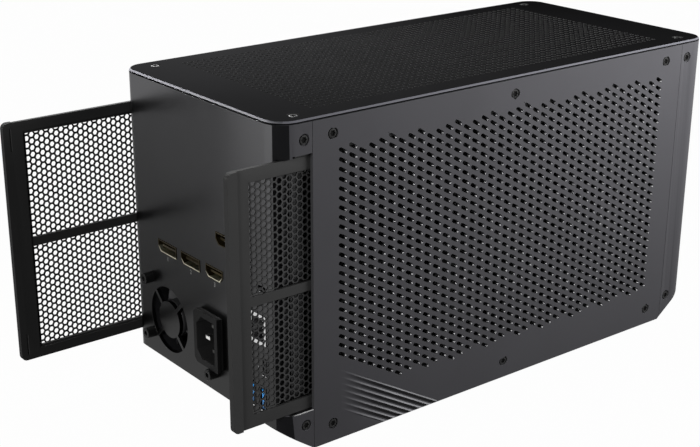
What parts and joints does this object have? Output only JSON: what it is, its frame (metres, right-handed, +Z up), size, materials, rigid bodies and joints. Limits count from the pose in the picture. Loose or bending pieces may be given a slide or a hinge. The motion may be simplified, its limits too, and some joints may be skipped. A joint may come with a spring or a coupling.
{
  "type": "external graphics card enclosure",
  "caption": "Desktop enclosure for a liquid cooled graphics card, with slotted side panels, a perforated top, a socket end and sliding dust filters.",
  "frame": {"origin": "centre of the body's footprint, at the height of the feet's undersides", "axes": "+X along the length, away from the socket end; +Y from the near long side to the far one; +Z up"},
  "size_m": [0.3702, 0.1402, 0.173],
  "materials": {
    "grey_aluminium": "fine blasted and anodised dark grey",
    "black_aluminium": "satin black",
    "bare_aluminium": "plain extruded",
    "black_plastic": "fine moulded grain",
    "rotor_plastic": "smooth moulded",
    "mesh": "satin black",
    "rubber": "matt",
    "black_screws": "black oxide, oiled",
    "sheet_steel": "zinc plated",
    "supply_case": "zinc plated sheet",
    "radiator_paint": "satin black",
    "socket_metal": "gold plated",
    "serial_socket": "plated shell with a blue tongue",
    "pin_brass": "nickel plated",
    "light_pipe": "clear moulded",
    "circuit_board": "black solder mask",
    "chip": "moulded package"
  },
  "bodies": {
    "enclosure": {"base_plate": "black_aluminium", "board_bracket": "sheet_steel", "card_board": "circuit_board", "card_slot": "black_plastic", "card_tray": "sheet_steel", "cover_screws": "black_screws", "display_socket_1": "socket_metal", "display_socket_2": "socket_metal", "display_socket_3": "socket_metal", "display_socket_4": "socket_metal", "far_coolant_hose": "rubber", "far_filter_guide": "black_plastic", "far_lower_bar": "bare_aluminium", "far_panel_screws": "black_screws", "far_port_foot": "rubber", "far_port_post": "bare_aluminium", "far_rear_foot": "rubber", "far_rear_post": "bare_aluminium", "far_side_panel": "grey_aluminium", "far_upper_bar": "bare_aluminium", "graphics_chip": "chip", "inlet_pins": "pin_brass", "inner_usb_socket": "serial_socket", "interface_board": "circuit_board", "near_coolant_hose": "rubber", "near_filter_guide": "black_plastic", "near_lower_bar": "bare_aluminium", "near_panel_screws": "black_screws", "near_port_foot": "rubber", "near_port_post": "bare_aluminium", "near_rear_foot": "rubber", "near_rear_post": "bare_aluminium", "near_side_panel": "grey_aluminium", "near_upper_bar": "bare_aluminium", "network_socket": "socket_metal", "outer_usb_socket": "serial_socket", "port_cap": "grey_aluminium", "port_cap_screws": "black_screws", "port_fan_frame": "black_plastic", "power_inlet": "black_plastic", "power_supply": "supply_case", "power_supply_stand": "sheet_steel", "pump_block": "black_plastic", "radiator": "radiator_paint", "radiator_tray": "sheet_steel", "rear_cap": "grey_aluminium", "rear_cap_screws": "black_screws", "rear_fan_frame": "black_plastic", "status_light": "light_pipe", "supply_fan_frame": "black_plastic", "supply_screws": "black_screws", "top_cover": "black_aluminium", "usb_c_socket": "socket_metal"},
    "near_filter": {"near_filter_frame": "black_plastic", "near_filter_mesh": "mesh"},
    "far_filter": {"far_filter_frame": "black_plastic", "far_filter_mesh": "mesh"},
    "port_fan": {"port_fan_rotor": "rotor_plastic"},
    "rear_fan": {"rear_fan_rotor": "rotor_plastic"},
    "supply_fan": {"supply_fan_rotor": "rotor_plastic"}
  },
  "joints": [
    {"name": "near_filter_slide", "type": "slide", "parent": "enclosure", "child": "near_filter", "axis": [-1, 0, 0], "range_m": [-0.0354, 0.1496]},
    {"name": "far_filter_slide", "type": "slide", "parent": "enclosure", "child": "far_filter", "axis": [-1, 0, 0], "range_m": [-0.0791, 0.1059]},
    {"name": "port_fan_spin", "type": "hinge", "parent": "enclosure", "child": "port_fan", "pos_m": [-0.06, 0, 0.1552], "axis": [0, 0, 1], "continuous": true},
    {"name": "rear_fan_spin", "type": "hinge", "parent": "enclosure", "child": "rear_fan", "pos_m": [0.06, 0, 0.1552], "axis": [0, 0, 1], "continuous": true},
    {"name": "supply_fan_spin", "type": "hinge", "parent": "enclosure", "child": "supply_fan", "pos_m": [-0.138, 0.0322, 0.0423], "axis": [1, 0, 0], "continuous": true}
  ]
}
